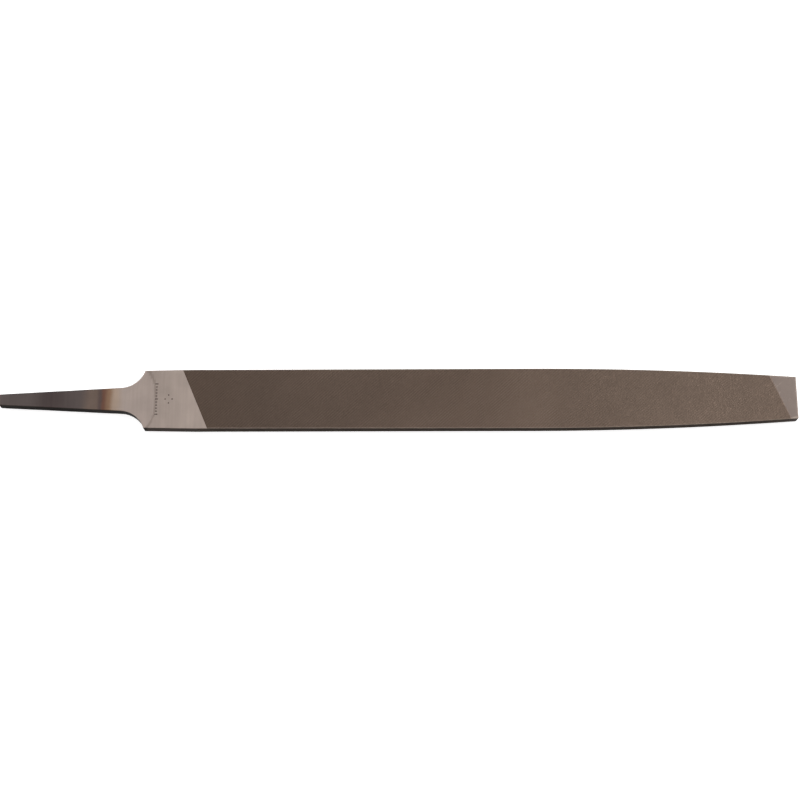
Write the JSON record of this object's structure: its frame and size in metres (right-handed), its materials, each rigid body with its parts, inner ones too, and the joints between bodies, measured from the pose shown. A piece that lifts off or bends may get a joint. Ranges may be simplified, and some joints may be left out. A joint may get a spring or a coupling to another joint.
{
  "type": "flat file",
  "caption": "Flat hand file for metalwork: a hardened steel forging with a tapering body, toothed faces, a smooth heel and a tapered tang for a handle.",
  "frame": {"origin": "under the middle of the whole length, tang included, on the plane that the file lies on", "axes": "+X along the file from the tang to the point, +Y across its width, +Z through its thickness; it lies flat on its lower broad face, so the upper one slopes down by 1 mm to the point"},
  "size_m": [0.3666, 0.0284, 0.0065],
  "materials": {
    "file_steel": "hardened tool steel: dark toothed faces, a bright ground heel, and temper colours on a dull tang"
  },
  "bodies": {
    "root": {"flat_file": "file_steel"}
  },
  "joints": []
}
